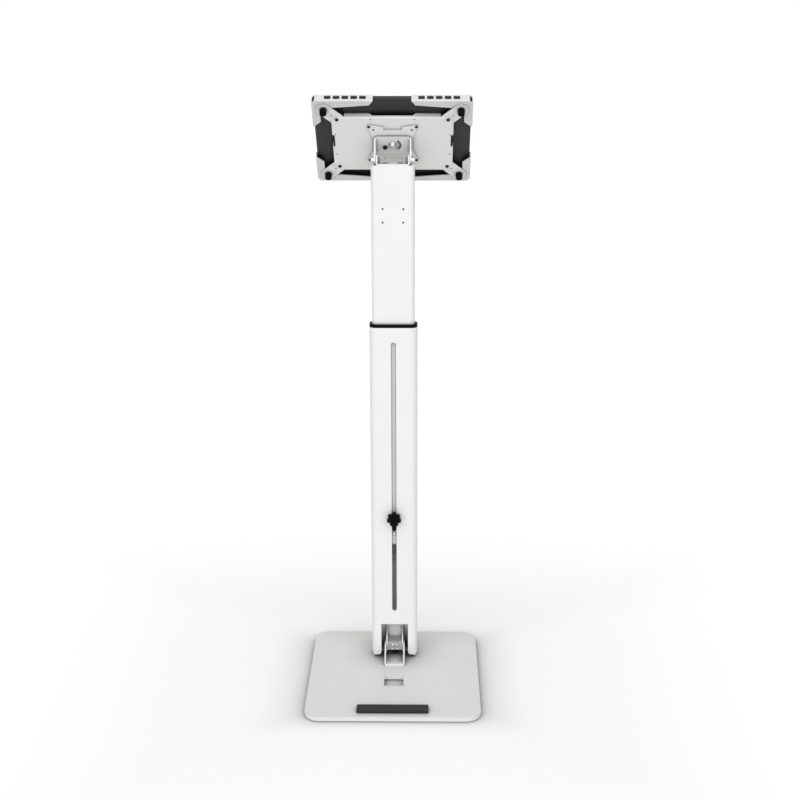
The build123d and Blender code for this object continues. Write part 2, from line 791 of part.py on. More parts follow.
# Yoke: U on the tilt pivot; its web carries the turning bolt and has the quarter-turn slot
web_low = disc_thick
web_top = disc_thick + yoke_steel
stop_arc = CenterArc((0, 0), stop_orbit, -turn_range / 2, turn_range)
with BuildPart() as tilt_bracket:
    with BuildSketch(head_level(yoke_low)):
        with Locations(Location((web_low, 0, 0), (0, 0, -90))):
            add(folded_channel(yoke_half, pivot_back + yoke_ear, yoke_steel))
    extrude(amount=yoke_high - yoke_low)
    with BuildSketch(head_across(0)):
        ear_foot = (-pivot_drop - yoke_ear, web_low)
        ear_head = (yoke_high - yoke_corner, web_low)
        add(ear_profile((-pivot_drop, pivot_back), yoke_ear, ear_foot, ear_head))
    extrude(amount=yoke_half, both=True, mode=Mode.INTERSECT)
    with BuildSketch(head.offset(web_low)):
        with Locations((0, yoke_low)):
            RectangleRounded(
                2 * (yoke_half - yoke_steel - fold_radius),
                yoke_high - yoke_low,
                yoke_corner,
                align=(Align.CENTER, Align.MIN),
            )
    extrude(amount=yoke_steel)
    with BuildSketch(head_across(yoke_half)):
        with Locations((-pivot_drop, pivot_back)):
            Circle(tilt_bolt_radius + pin_play)
    extrude(amount=-2 * yoke_half, mode=Mode.SUBTRACT)
    with BuildSketch(head.offset(web_top)):
        Circle(turn_bolt_radius + pin_play)
        with Locations((lock_screw_x, lock_screw_s)):
            Circle(lock_screw_radius)
        SlotArc(stop_arc, stop_slot)
    extrude(amount=-yoke_steel, mode=Mode.SUBTRACT)
save(tilt_bracket.part, "tilt_bracket")

turn_bolt_long = turn_washer_thick + yoke_steel + disc_thick + plate_steel + turn_nut_thick + thread_end
with BuildPart() as turn_bolt:
    flange = head.offset(web_top + turn_washer_thick)
    button_screws(flange, [(0, 0)], turn_head_radius, turn_head, turn_bolt_radius, turn_bolt_long)
    with BuildSketch(flange):
        Circle(turn_washer_radius)
    extrude(amount=-turn_washer_thick)
save(turn_bolt.part, "turn_bolt")

with BuildPart() as turn_nut:
    nut_seat = head.offset(-plate_steel - seat_gap)
    hex_nuts(nut_seat, [(0, 0)], turn_nut_radius, turn_bolt_radius + pin_play, turn_nut_thick)
save(turn_nut.part, "turn_nut")

with BuildPart() as turn_lock_screw:
    lock_long = yoke_steel + disc_thick - slide_gap
    lock_spot = [(lock_screw_x, lock_screw_s)]
    button_screws(
        head.offset(web_top), lock_spot, lock_screw_head, lock_screw_high, lock_screw_radius, lock_long
    )
save(turn_lock_screw.part, "turn_lock_screw")

# Turning plate with two ears above and two below, its stop pin and friction disc
outer_holes = [(sx * vesa_outer / 2, sy * vesa_outer / 2) for sx in (-1, 1) for sy in (-1, 1)]
inner_holes = [(sx * vesa_inner / 2, sy * vesa_inner / 2) for sx in (-1, 1) for sy in (-1, 1)]
pin_spot = (stop_orbit * cos(radians(turn_range / 2)), -stop_orbit * sin(radians(turn_range / 2)))
with BuildPart() as turn_plate:
    with BuildSketch(head) as outline:
        with BuildLine() as quarter:
            Polyline(
                (0, plate_waist),
                (plate_waist_half, plate_waist),
                (plate_waist_half + 1, plate_step),
                (plate_ear_x, plate_ear_s),
                (plate_side, plate_side_half),
                (plate_side, 0),
            )
            mirror(about=Plane.XZ)
            mirror(about=Plane.YZ)
        make_face()
        fillet([v for v in outline.vertices() if abs(v.X) > plate_side + 1], plate_ear_round)
        with Locations(*outer_holes):
            Circle(screw_m4, mode=Mode.SUBTRACT)
        with Locations(*inner_holes):
            Circle(vesa_hole, mode=Mode.SUBTRACT)
        with Locations(pin_spot):
            Circle(stop_pin_radius, mode=Mode.SUBTRACT)
        Circle(turn_bolt_radius + pin_play, mode=Mode.SUBTRACT)
    extrude(amount=-plate_steel)
save(turn_plate.part, "turn_plate")

with BuildPart() as friction_disc:
    with BuildSketch(head):
        Circle(turn_disc_radius)
        Circle(turn_bolt_radius + pin_play, mode=Mode.SUBTRACT)
    extrude(amount=disc_thick - pin_play)
save(friction_disc.part, "friction_disc")

with BuildPart() as stop_pin:
    with BuildSketch(head.offset(-plate_steel)):
        with Locations(pin_spot):
            Circle(stop_pin_radius)
    extrude(amount=plate_steel + web_top + stop_pin_proud)
save(stop_pin.part, "stop_pin")

with BuildPart() as plate_screws:
    plate_screw_long = plate_steel + tray_steel + thread_end
    button_screws(head, outer_holes, plate_screw_head, screw_m4, screw_m4, plate_screw_long)
save(plate_screws.part, "plate_screws")

# Back tray: folded steel tray between turning plate and tablet, with open corners for the arms
tray_face = -plate_steel
tray_inside = tray_face - tray_steel
tray = Plane(origin=head.from_local_coords((0, -tray_drop, tray_face)), x_dir=head.x_dir, z_dir=head.z_dir)
corners = {"tl": (-1, 1), "tr": (1, 1), "bl": (-1, -1), "br": (1, -1)}
arm_angles = {"tl": 135, "tr": 45, "bl": 225, "br": 315}
arm_step = arm_screw_back / sqrt(2)
arm_screws = [(sx * (knob_x - arm_step), sy * (knob_s - arm_step)) for sx, sy in corners.values()]
side_dot = tray_width / 2 - tray_dot_edge
end_dot = tray_height / 2 - tray_dot_end
tray_dots = [(sx * side_dot, sy * tray_dot_half) for sx, sy in corners.values()]
tray_dots += [(sx * tray_dot_x, sy * end_dot) for sx, sy in corners.values()]


def tray_outline(inset):
    with BuildSketch() as outline:
        Rectangle(tray_width - 2 * inset, tray_height - 2 * inset)
        chamfer(outline.vertices(), tray_chamfer - chamfer_ease * inset)
    return outline.sketch


with BuildPart() as back_tray:
    with BuildSketch(tray):
        add(tray_outline(0))
    extrude(amount=-tray_depth)
    fillet(back_tray.faces().sort_by(head_depth)[-1].edges(), fold_radius + tray_steel)
    with BuildSketch(tray.offset(-tray_steel)):
        add(tray_outline(tray_steel))
    extrude(amount=-tray_depth, mode=Mode.SUBTRACT)
    with BuildSketch(hold.offset(tray_inside)):
        for key, (sx, sy) in corners.items():
            with Locations(Location((sx * knob_x, sy * knob_s, 0), (0, 0, arm_angles[key]))):
                Rectangle(arm_length, 2 * (arm_half + slide_gap), align=(Align.MAX, Align.CENTER))
    extrude(amount=-tray_depth, mode=Mode.SUBTRACT)
    for side in (-1, 1):
        with BuildSketch(head_level(side * tray_height / 2 - tray_drop)):
            with BuildLine():
                Polyline(
                    (tray_face - tray_flange_mid, -tray_flange_half),
                    (tray_face - tray_flange_mid, tray_flange_half),
                    (tray_face - tray_depth, tray_flange_half + tray_depth - tray_flange_mid),
                    (tray_face - tray_depth, -tray_flange_half - tray_depth + tray_flange_mid),
                    close=True,
                )
            make_face()
        extrude(amount=-side * 2 * tray_steel, mode=Mode.SUBTRACT)
    with BuildSketch(head.offset(tray_face)):
        with Locations((0, tray_notch_s)):
            with GridLocations(tray_width, 1, 2, 1):
                Rectangle(2 * tray_notch_depth, tray_notch)
    extrude(amount=-tray_depth, mode=Mode.SUBTRACT)
    round_holes(head.offset(tray_face), [(0, 0)], tray_hole, tray_steel)
    round_holes(hold.offset(tray_face), arm_screws, arm_screw, tray_steel)
    round_holes(tray, tray_dots, tray_dot, tray_steel)
    round_holes(head.offset(tray_face), outer_holes, screw_m4, tray_steel)
    round_holes(head.offset(tray_face), inner_holes, vesa_hole, tray_steel)
save(back_tray.part, "back_tray")

# Tablet, a plain slate held in the clamps
glass_size = (tablet_width - 2 * glass_margin, tablet_height - 2 * glass_margin, tablet_corner - glass_margin)
with BuildPart() as tablet_shell:
    with BuildSketch(hold.offset(-tablet_depth)):
        RectangleRounded(tablet_width, tablet_height, tablet_corner)
    extrude(amount=-tablet_thick)
    fillet(tablet_shell.faces().sort_by(head_depth)[-1].edges(), tablet_edge)
    with BuildSketch(hold.offset(-tablet_depth - tablet_thick)):
        RectangleRounded(*glass_size)
    extrude(amount=glass_thick, mode=Mode.SUBTRACT)
save(tablet_shell.part, "tablet_shell")

with BuildPart() as tablet_glass:
    with BuildSketch(hold.offset(-tablet_depth - tablet_thick)):
        RectangleRounded(*glass_size)
    extrude(amount=glass_thick)
save(tablet_glass.part, "tablet_glass")

with BuildPart() as tray_pads:
    with BuildSketch(tray.offset(-tray_steel)):
        with GridLocations(1, tray_height - 2 * tray_pad_end, 1, 2):
            RectangleRounded(tray_pad_long, tray_pad_wide, small_corner)
    extrude(amount=-(tablet_depth + tray_inside))
save(tray_pads.part, "tray_pads")

# Screws that hold the four sliding arms under the tray, each with a nut below its arm
arm_top = tray_inside - seat_gap
arm_low = arm_top - arm_steel
with BuildPart() as tray_screws:
    screw_seat = hold.offset(tray_face)
    button_screws(screw_seat, arm_screws, arm_screw_head, arm_screw_high, arm_screw, arm_screw_low)
save(tray_screws.part, "tray_screws")

with BuildPart() as tray_nuts:
    hex_nuts(hold.offset(arm_low - seat_gap), arm_screws, arm_nut, arm_screw + pin_play, arm_nut_thick)
save(tray_nuts.part, "tray_nuts")

# Clamp shell: folded sheet round the tablet, from which each corner clamp is cut
clamp_back = arm_low
clamp_front = clamp_back - clamp_depth


def slab(inset, bend):
    with BuildPart() as block:
        with BuildSketch(hold.offset(clamp_back - inset)):
            Rectangle(2 * (clamp_half_w - inset), 2 * (clamp_half_h - inset))
        extrude(amount=2 * inset - clamp_depth)
        by_depth = block.faces().sort_by(head_depth)
        fillet(by_depth[0].edges() + by_depth[-1].edges(), bend)
    return block.part


def from_corner(points):
    # Points given as distances in from the clamp's outer corner
    return [(clamp_half_w - x, clamp_half_h - s) for x, s in points]


clamp_shell = slab(0, fold_radius + clamp_steel) - slab(clamp_steel, fold_radius)
vents = [clamp_half_w - vent_last - i * vent_pitch for i in range(vent_count)]
rim = clamp_rim
lip = clamp_front_lip
ease = clamp_lip_ease
lip_edge = from_corner(
    [
        (clamp_half_w, clamp_half_h),
        (clamp_half_w, rim),
        (clamp_long, rim),
        (110.9, 12.6),
        (43.0, 19.0),
        (36.5, 18.8),
        (16.2, 35.8),
        (16.2, 56.8),
        (rim, clamp_side),
        (rim, clamp_half_h),
    ]
)
front_edge = from_corner(
    [
        (clamp_half_w, clamp_half_h),
        (clamp_half_w, 0),
        (clamp_long, 0),
        (clamp_long - ease, lip),
        (lip, lip),
        (lip, clamp_side - ease),
        (0, clamp_side),
        (0, clamp_half_h),
    ]
)
corner_cut = from_corner([(clamp_corner_x, 0), (0, 0), (0, clamp_corner_s)])


def corner_face(depth, points, sx, sy):
    with BuildSketch(hold.offset(depth)) as face:
        with BuildLine():
            Polyline(*[(sx * x, sy * s) for x, s in points], close=True)
        make_face()
    return face.sketch


for key, (sx, sy) in corners.items():
    angle = arm_angles[key]
    knob_spot = [(sx * knob_x, sy * knob_s)]
    with BuildPart() as clamp:
        add(clamp_shell)
        with BuildSketch(hold.offset(clamp_back)):
            with Locations((sx * (clamp_half_w - clamp_long), sy * (clamp_half_h - clamp_side))):
                Rectangle(
                    clamp_half_w,
                    clamp_half_h,
                    align=(Align.MIN if sx > 0 else Align.MAX, Align.MIN if sy > 0 else Align.MAX),
                )
        extrude(amount=-clamp_depth, mode=Mode.INTERSECT)
        back_cut = corner_face(clamp_back, lip_edge, sx, sy)
        extrude(back_cut, amount=-2 * clamp_steel, mode=Mode.SUBTRACT)
        front_cut = corner_face(clamp_front, front_edge, sx, sy)
        extrude(front_cut, amount=2 * clamp_steel, mode=Mode.SUBTRACT)
        end_cut = corner_face(clamp_back, corner_cut, sx, sy)
        extrude(end_cut, amount=-clamp_depth, mode=Mode.SUBTRACT)
        with BuildSketch(head_level(sy * clamp_half_h - tablet_drop)):
            with Locations(*[(clamp_back - clamp_depth / 2, sx * x) for x in vents]):
                RectangleRounded(vent_high, vent_long, small_corner)
        extrude(amount=-sy * 2 * clamp_steel, mode=Mode.SUBTRACT)
        round_holes(hold.offset(clamp_back), knob_spot, thumb_stud + pin_play, clamp_steel)
    save(clamp.part, f"clamp_{key}")

    with BuildPart() as arm:
        with BuildSketch(hold.offset(arm_top)):
            with Locations(Location((sx * knob_x, sy * knob_s, 0), (0, 0, angle))):
                with Locations((arm_half - arm_length / 2, 0)):
                    SlotOverall(arm_length, 2 * arm_half)
                with Locations((-arm_screw_back - arm_travel / 2, 0)):
                    slot_radius = arm_screw + slide_gap
                    SlotOverall(arm_travel + 2 * slot_radius, 2 * slot_radius, mode=Mode.SUBTRACT)
                with Locations((-arm_hole_back, 0)):
                    Circle(arm_hole, mode=Mode.SUBTRACT)
                Circle(thumb_stud + pin_play, mode=Mode.SUBTRACT)
        extrude(amount=-arm_steel)
    save(arm.part, f"arm_{key}")

    with BuildPart() as pad:
        with BuildSketch(hold.offset(clamp_back - clamp_steel)):
            with Locations((sx * (clamp_half_w - clamp_pad_mid_x), sy * (clamp_half_h - clamp_pad_in))):
                RectangleRounded(clamp_pad_long, clamp_pad_wide, small_corner)
            with Locations((sx * (clamp_half_w - clamp_pad_in), sy * (clamp_half_h - clamp_pad_mid_s))):
                RectangleRounded(clamp_pad_wide, clamp_pad_side, small_corner)
        extrude(amount=clamp_steel - clamp_back - tablet_depth + slide_gap)
    save(pad.part, f"clamp_pad_{key}")

    with BuildPart() as nut:
        nut_plane = hold.offset(clamp_back - clamp_steel)
        hex_nuts(nut_plane, knob_spot, clamp_nut, thumb_stud + pin_play, clamp_nut_thick)
    save(nut.part, f"clamp_nut_{key}")

    with BuildPart() as thumb:
        thumb_seat = hold.offset(arm_top + seat_gap)
        with BuildSketch(thumb_seat):
            with Locations(Location((sx * knob_x, sy * knob_s, 0), (0, 0, angle))):
                Circle(thumb_radius)
                with PolarLocations(thumb_radius + thumb_flute_out, thumb_flutes):
                    Circle(thumb_flute, mode=Mode.SUBTRACT)
        extrude(amount=thumb_height)
        round_holes(thumb_seat.offset(thumb_height), knob_spot, thumb_radius - thumb_rim, thumb_dish)
        with BuildSketch(thumb_seat) as stud:
            with Locations(*knob_spot):
                Circle(thumb_stud)
        extrude(stud.sketch, amount=-thumb_stud_long)
    save(thumb.part, f"thumb_knob_{key}")
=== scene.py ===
import json
import math

import bmesh
import bpy
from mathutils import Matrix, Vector


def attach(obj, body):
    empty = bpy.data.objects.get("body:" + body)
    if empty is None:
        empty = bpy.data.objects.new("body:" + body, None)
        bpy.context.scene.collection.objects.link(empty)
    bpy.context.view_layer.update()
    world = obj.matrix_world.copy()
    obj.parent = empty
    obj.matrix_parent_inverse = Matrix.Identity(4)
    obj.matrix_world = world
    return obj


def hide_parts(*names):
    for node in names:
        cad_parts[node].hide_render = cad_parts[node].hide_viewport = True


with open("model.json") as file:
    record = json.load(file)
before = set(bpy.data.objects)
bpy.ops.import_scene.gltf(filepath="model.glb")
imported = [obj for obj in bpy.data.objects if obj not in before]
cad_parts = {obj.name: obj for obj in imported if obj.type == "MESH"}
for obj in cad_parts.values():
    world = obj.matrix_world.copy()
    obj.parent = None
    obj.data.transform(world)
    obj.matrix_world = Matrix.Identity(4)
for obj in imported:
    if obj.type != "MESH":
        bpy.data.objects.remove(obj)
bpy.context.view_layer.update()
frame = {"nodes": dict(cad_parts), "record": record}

nodes = frame["nodes"]
print("frame loaded:", len(nodes), "nodes")


def toLinear(hexColour):
    # sRGB hex to the linear values that Blender's sockets take
    parts = [int(hexColour[i:i + 2], 16) / 255 for i in (1, 3, 5)]
    return tuple(c / 12.92 if c <= 0.04045 else ((c + 0.055) / 1.055) ** 2.4 for c in parts) + (1.0,)


def addNode(tree, kind, settings=None, inputs=None):
    # One node with its settings and links; an input is a value or another node's output
    node = tree.nodes.new(kind)
    for name, value in (settings or {}).items():
        setattr(node, name, value)
    for name, value in (inputs or {}).items():
        if isinstance(value, bpy.types.NodeSocket):
            tree.links.new(value, node.inputs[name])
        else:
            node.inputs[name].default_value = value
    return node


def newMaterial(name):
    material = bpy.data.materials.new(name)
    material.use_nodes = True
    material.node_tree.nodes.clear()
    return material, material.node_tree


def seenOn(tree, kinds):
    # 1 on the named kinds of ray and 0 on all others, so that what it drives sheds no soft light
    rays = addNode(tree, "ShaderNodeLightPath")
    seen = rays.outputs[kinds[0]]
    for kind in kinds[1:]:
        either = addNode(tree, "ShaderNodeMath", {"operation": "MAXIMUM"}, {0: seen, 1: rays.outputs[kind]})
        seen = either.outputs[0]
    return seen


# The photograph's viewing angle, from a little further back and higher up, so that a small shift
# frames it like the photograph and the views from other sides keep the head
camera = {
    "place": (0.058951, -2.481134, 1.44105),  # metres
    "pitchDown": 16.448,  # degrees below level
    "turnLeft": 0.428,  # degrees
    "lens": 58.373,  # millimetres
    "shift": (-0.016257, -0.05),  # shares of the picture's width
    "clipEnd": 60,  # metres, past the floor's far edge
}
cameraData = bpy.data.cameras.new("photoCamera")
cameraObject = bpy.data.objects.new("photoCamera", cameraData)
bpy.context.scene.collection.objects.link(cameraObject)
cameraObject.location = camera["place"]
cameraObject.rotation_euler = (math.radians(90 - camera["pitchDown"]), 0, math.radians(camera["turnLeft"]))
cameraData.lens = camera["lens"]
cameraData.shift_x, cameraData.shift_y = camera["shift"]
cameraData.clip_end = camera["clipEnd"]
bpy.context.scene.camera = cameraObject

# A white floor, darkened by painted shade near a surface over it; a glow that only the camera and mirrors see
# fades in from the base's edge, so that a painted shadow rings the base, and further out it makes the floor
# run into the white background
floor = {
    "half": 9.0,  # metres, half a side
    "place": (0, 4, -0.0002),  # mostly behind the stand, and a hair under its feet
    "hex": "#E6E6E6",
    "paintedShadeHex": "#101010",  # painted shade: what the floor is darkened to in the gap under the base plate
    "shadeWithin": 0.03,  # metres to the surface that shades it
    "shadePower": 1.3,
    "shadeSamples": 6,
    "glowNear": 0.27,  # strength of the glow that starts at the base; short of it lies the painted shadow
    "glowFar": 0.14,  # strength of the one that rises slowly over a metre
    "glowFrom": 0.178,  # metres from the middle, about the base's edge; the next four count from there
    "nearLead": 0.06,
    "nearReach": 0.13,
    "farLead": 0.3,
    "farReach": 0.95,
    "stretch": 1.25,  # lengths in front and behind count for more, so the glow sets in sooner there
    "cornerRound": 0.06,  # metres, on the corners of the glow's square outline
}
floorMesh = bpy.data.meshes.new("floor")
half = floor["half"]
floorCorners = [(-half, -half, 0), (half, -half, 0), (half, half, 0), (-half, half, 0)]
floorMesh.from_pydata(floorCorners, [], [(0, 1, 2, 3)])
floorObject = bpy.data.objects.new("floor", floorMesh)
floorObject.location = floor["place"]
bpy.context.scene.collection.objects.link(floorObject)

floorMaterial, tree = newMaterial("studioFloor")
# Painted shade: the floor's colour darkens near a surface over it
near = addNode(tree, "ShaderNodeAmbientOcclusion", {"samples": floor["shadeSamples"]}, {
    "Distance": floor["shadeWithin"]})
shade = addNode(tree, "ShaderNodeMath", {"operation": "POWER"}, {
    0: near.outputs["AO"], 1: floor["shadePower"]})
floorPaintedShade = addNode(tree, "ShaderNodeMix", {"data_type": "RGBA"}, {
    "Factor": shade.outputs[0], "A": toLinear(floor["paintedShadeHex"]), "B": toLinear(floor["hex"])})
lit = addNode(tree, "ShaderNodeBsdfDiffuse", inputs={"Color": floorPaintedShade.outputs["Result"]})
place = addNode(tree, "ShaderNodeNewGeometry")
axes = addNode(tree, "ShaderNodeSeparateXYZ", inputs={"Vector": place.outputs["Position"]})
sideways = addNode(tree, "ShaderNodeMath", {"operation": "ABSOLUTE"}, {0: axes.outputs["X"]})
lengthways = addNode(tree, "ShaderNodeMath", {"operation": "ABSOLUTE"}, {0: axes.outputs["Y"]})
stretched = addNode(tree, "ShaderNodeMath", {"operation": "MULTIPLY"}, {
    0: lengthways.outputs[0], 1: floor["stretch"]})
fromMiddle = addNode(tree, "ShaderNodeMath", {"operation": "SMOOTH_MAX"}, {
    0: sideways.outputs[0], 1: stretched.outputs[0], 2: floor["cornerRound"]})
# Painted shadow: the glow fades in by distance from the middle, so the floor round the base stays grey
nearFade = addNode(tree, "ShaderNodeMapRange", {"interpolation_type": "SMOOTHERSTEP"}, {
    "Value": fromMiddle.outputs[0],
    "From Min": floor["glowFrom"] - floor["nearLead"], "From Max": floor["glowFrom"] + floor["nearReach"],
    "To Min": 0.0, "To Max": floor["glowNear"]})
farFade = addNode(tree, "ShaderNodeMapRange", {"interpolation_type": "SMOOTHSTEP"}, {
    "Value": fromMiddle.outputs[0],
    "From Min": floor["glowFrom"] - floor["farLead"], "From Max": floor["glowFrom"] + floor["farReach"],
    "To Min": 0.0, "To Max": floor["glowFar"]})
fades = addNode(tree, "ShaderNodeMath", {"operation": "ADD"}, {0: nearFade.outputs[0], 1: farFade.outputs[0]})
glowLevel = addNode(tree, "ShaderNodeMath", {"operation": "MULTIPLY"}, {
    0: seenOn(tree, ["Is Camera Ray", "Is Glossy Ray"]), 1: fades.outputs[0]})
glow = addNode(tree, "ShaderNodeEmission", inputs={"Color": (1, 1, 1, 1), "Strength": glowLevel.outputs[0]})
both = addNode(tree, "ShaderNodeAddShader", inputs={0: lit.outputs[0], 1: glow.outputs[0]})
addNode(tree, "ShaderNodeOutputMaterial", inputs={"Surface": both.outputs[0]})
floorMesh.materials.append(floorMaterial)

# The room's even light, and the same white at full strength where it is looked at
backdrop = {"hex": "#FFFFFF", "strength": 0.36, "seenStrength": 1.0}
world = bpy.data.worlds.new("studioWorld")
world.use_nodes = True
tree = world.node_tree
tree.nodes.clear()
level = addNode(tree, "ShaderNodeMix", {"data_type": "FLOAT"}, {
    "Factor": seenOn(tree, ["Is Camera Ray", "Is Transmission Ray", "Is Glossy Ray"]),
    "A": backdrop["strength"], "B": backdrop["seenStrength"]})
sky = addNode(tree, "ShaderNodeBackground", inputs={
    "Color": toLinear(backdrop["hex"]), "Strength": level.outputs["Result"]})
addNode(tree, "ShaderNodeOutputWorld", inputs={"Surface": sky.outputs[0]})
bpy.context.scene.world = world

# One very wide soft light from above and behind the camera
keyLight = {"strength": 2.27, "turn": (55.0, 0.0, -4.0), "angle": 96.0}  # degrees
keyData = bpy.data.lights.new("keyLight", "SUN")
keyData.energy = keyLight["strength"]
keyData.angle = math.radians(keyLight["angle"])
keyObject = bpy.data.objects.new("keyLight", keyData)
keyObject.rotation_euler = [math.radians(a) for a in keyLight["turn"]]
bpy.context.scene.collection.objects.link(keyObject)
bpy.context.scene.view_settings.view_transform = "Standard"
print("stage and camera set")


def objectMillimetres(tree):
    # Object coordinates in millimetres, so pattern scales below are real sizes
    place = addNode(tree, "ShaderNodeTexCoord")
    return addNode(tree, "ShaderNodeVectorMath", {"operation": "SCALE"}, {
        0: place.outputs["Object"], "Scale": 1000.0}).outputs[0]


creviceShade = {"hex": "#141414", "samples": 6}  # the painted shade's colour


def paintShadeInCrevices(tree, spec, colour):
    # Painted shade: the colour is darkened towards the crevice colour within the given distances of another
    # surface; with levelOnly, only faces that turn up are darkened
    for distance, strength in spec.get("paintedShade", []):
        nearby = addNode(tree, "ShaderNodeAmbientOcclusion", {"samples": creviceShade["samples"]}, {
            "Distance": distance})
        unshaded = addNode(tree, "ShaderNodeMath", {"operation": "POWER"}, {
            0: nearby.outputs["AO"], 1: strength})
        if spec.get("levelOnly"):
            facing = addNode(tree, "ShaderNodeSeparateXYZ", inputs={
                "Vector": addNode(tree, "ShaderNodeNewGeometry").outputs["True Normal"]})
            upright = addNode(tree, "ShaderNodeMath", {"operation": "SUBTRACT", "use_clamp": True}, {
                0: 1.0, 1: facing.outputs["Z"]})
            unshaded = addNode(tree, "ShaderNodeMath", {"operation": "MAXIMUM"}, {
                0: unshaded.outputs[0], 1: upright.outputs[0]})
        colour = addNode(tree, "ShaderNodeMix", {"data_type": "RGBA"}, {
            "Factor": unshaded.outputs[0], "A": toLinear(creviceShade["hex"]), "B": colour}).outputs["Result"]
    return colour


# What all coats and mouldings share: a colour that drifts a little over a hand's width, and a grain
coat = {
    "driftMm": 70,
    "driftDetail": 3.0,
    "darkest": 0.955,  # share of the colour that is left where it is darkest
    "grainDetail": 2.0,
    "grainHigh": 0.0003,  # metres
    "smoother": 0.05,  # how far the roughness goes under and over its own value
    "rougher": 0.06,
    "ior": 1.5,
}
# Grain is as wide as grainMm; the pairs for painted shade near other surfaces give a distance in metres and a
# strength
finishes = {
    # Powder-coated steel: sprayed and baked, so a satin white with a faint orange peel a millimetre across,
    # and painted shade near other surfaces
    "powderCoatedSteel": {"hex": "#F0F0EF", "rough": 0.42, "grainMm": 1.1, "grain": 0.05, "specular": 0.45,
                          "paintedShade": [(0.007, 1.0), (0.055, 0.3)]},
    # The same coat on the corner clamps, which are handled most, so rougher than the rest; painted a shade
    # greyer as painted shade
    "powderCoatedSteelShaded": {"hex": "#DFDFDE", "rough": 0.48, "grainMm": 1.1, "grain": 0.09, "specular": 0.4,
                          "paintedShade": [(0.007, 1.0), (0.055, 0.35)]},
    # The same coat on the base plate, a shade darker as painted shade; painted shade greys its level top near
    # the mast, and leaves its edges bright
    "powderCoatedPlate": {"hex": "#ECECEB", "rough": 0.42, "grainMm": 1.1, "grain": 0.05, "specular": 0.45,
                          "paintedShade": [(0.07, 1.2)], "levelOnly": True},
    # The same coat inside the foot bracket, a shade darker as painted shade, and painted shade deep in its
    # recesses
    "powderCoatedBracket": {"hex": "#ECECEB", "rough": 0.42, "grainMm": 1.1, "grain": 0.05, "specular": 0.45,
                            "paintedShade": [(0.05, 1.15)]},
    # Injection-moulded nylon: a slightly warmer, flatter white than the steel
    "mouldedNylonWhite": {"hex": "#EFEFEC", "rough": 0.5, "grainMm": 0.5, "grain": 0.04, "specular": 0.4},
    # Injection-moulded ABS: near black with a soft grey sheen; its spark-eroded grain is drawn coarser than
    # the real one, so that it shows in a close view
    "mouldedAbsBlack": {"hex": "#050506", "rough": 0.55, "grainMm": 0.35, "grain": 0.12, "specular": 0.07},
    # Moulded graphite-grey nylon: the glide inside the tube, which greys as it rubs on the paint
    "mouldedNylonGraphite": {"hex": "#48484A", "rough": 0.6, "grainMm": 0.5, "grain": 0.06, "specular": 0.2},
    # The same solid rubber inside the corner clamps, coloured nearly black, with painted shade near other
    # surfaces
    "solidRubberDeep": {"hex": "#111112", "rough": 0.85, "grainMm": 0.45, "grain": 0.2, "specular": 0.08,
                        "paintedShade": [(0.012, 1.6)]},
    # Moulded solid rubber: dark grey and dull, with painted shade near other surfaces
    "solidRubberBlack": {"hex": "#3A3A3B", "rough": 0.82, "grainMm": 0.45, "grain": 0.2, "specular": 0.2,
                         "paintedShade": [(0.012, 1.6)]},
}


def coatedMaterial(name, spec):
    material, tree = newMaterial(name)
    millimetres = objectMillimetres(tree)
    drift = addNode(tree, "ShaderNodeTexNoise", inputs={
        "Vector": millimetres, "Scale": 1 / coat["driftMm"], "Detail": coat["driftDetail"]})
    colour = toLinear(spec["hex"])
    darker = tuple(c * coat["darkest"] for c in colour[:3]) + (1.0,)
    tint = addNode(tree, "ShaderNodeMix", {"data_type": "RGBA"}, {
        "Factor": drift.outputs["Fac"], "A": darker, "B": colour})
    colourOut = paintShadeInCrevices(tree, spec, tint.outputs["Result"])
    grain = addNode(tree, "ShaderNodeTexNoise", inputs={
        "Vector": millimetres, "Scale": 1 / spec["grainMm"], "Detail": coat["grainDetail"]})
    bump = addNode(tree, "ShaderNodeBump", inputs={
        "Height": grain.outputs["Fac"], "Strength": spec["grain"], "Distance": coat["grainHigh"]})
    sheen = addNode(tree, "ShaderNodeMapRange", inputs={
        "Value": grain.outputs["Fac"],
        "To Min": spec["rough"] - coat["smoother"], "To Max": spec["rough"] + coat["rougher"]})
    shader = addNode(tree, "ShaderNodeBsdfPrincipled", inputs={
        "Base Color": colourOut, "Roughness": sheen.outputs[0], "IOR": coat["ior"],
        "Specular IOR Level": spec["specular"], "Normal": bump.outputs[0]})
    addNode(tree, "ShaderNodeOutputMaterial", inputs={"Surface": shader.outputs[0]})
    return material


